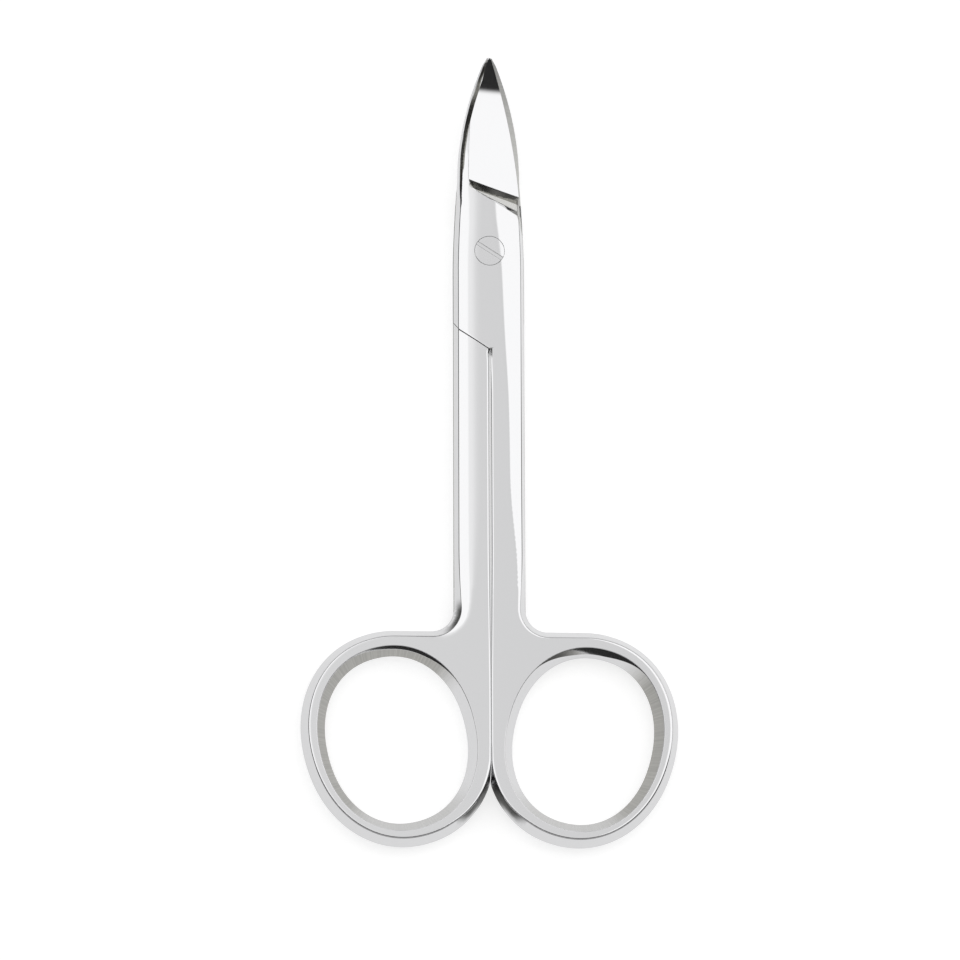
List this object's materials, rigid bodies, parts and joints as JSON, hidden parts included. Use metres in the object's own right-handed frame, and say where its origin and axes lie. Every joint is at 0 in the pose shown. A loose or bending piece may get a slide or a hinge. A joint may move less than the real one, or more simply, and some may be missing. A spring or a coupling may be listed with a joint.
{
  "type": "toenail scissors",
  "caption": "Small polished steel scissors with short upswept blades, a lap joint on a flush slotted screw and closed finger rings.",
  "frame": {"origin": "bottom centre of the bounding box of the closed scissors, on the rear flat face's plane", "axes": "+Y along the scissors towards the blade tips, +Z out of the front face with the screw head, +X towards the ring of the front half"},
  "size_m": [0.049, 0.105, 0.0048],
  "materials": {
    "polished_steel_front": "mirror-polished stainless steel, satin on the blade's spine and step and inside the ring",
    "polished_steel_rear": "mirror-polished stainless steel, satin on the blade's spine and step and inside the ring",
    "screw_steel": "turned stainless steel, ground flush with the face"
  },
  "bodies": {
    "rear": {"rear_blade_half": "polished_steel_rear", "pivot_screw": "screw_steel"},
    "front": {"front_blade_half": "polished_steel_front"}
  },
  "joints": [
    {"name": "blade_pivot", "type": "hinge", "parent": "rear", "child": "front", "pos_m": [0, 0.0262, 0.002], "axis": [0, 0, 1], "range_deg": [0, 100]}
  ]
}
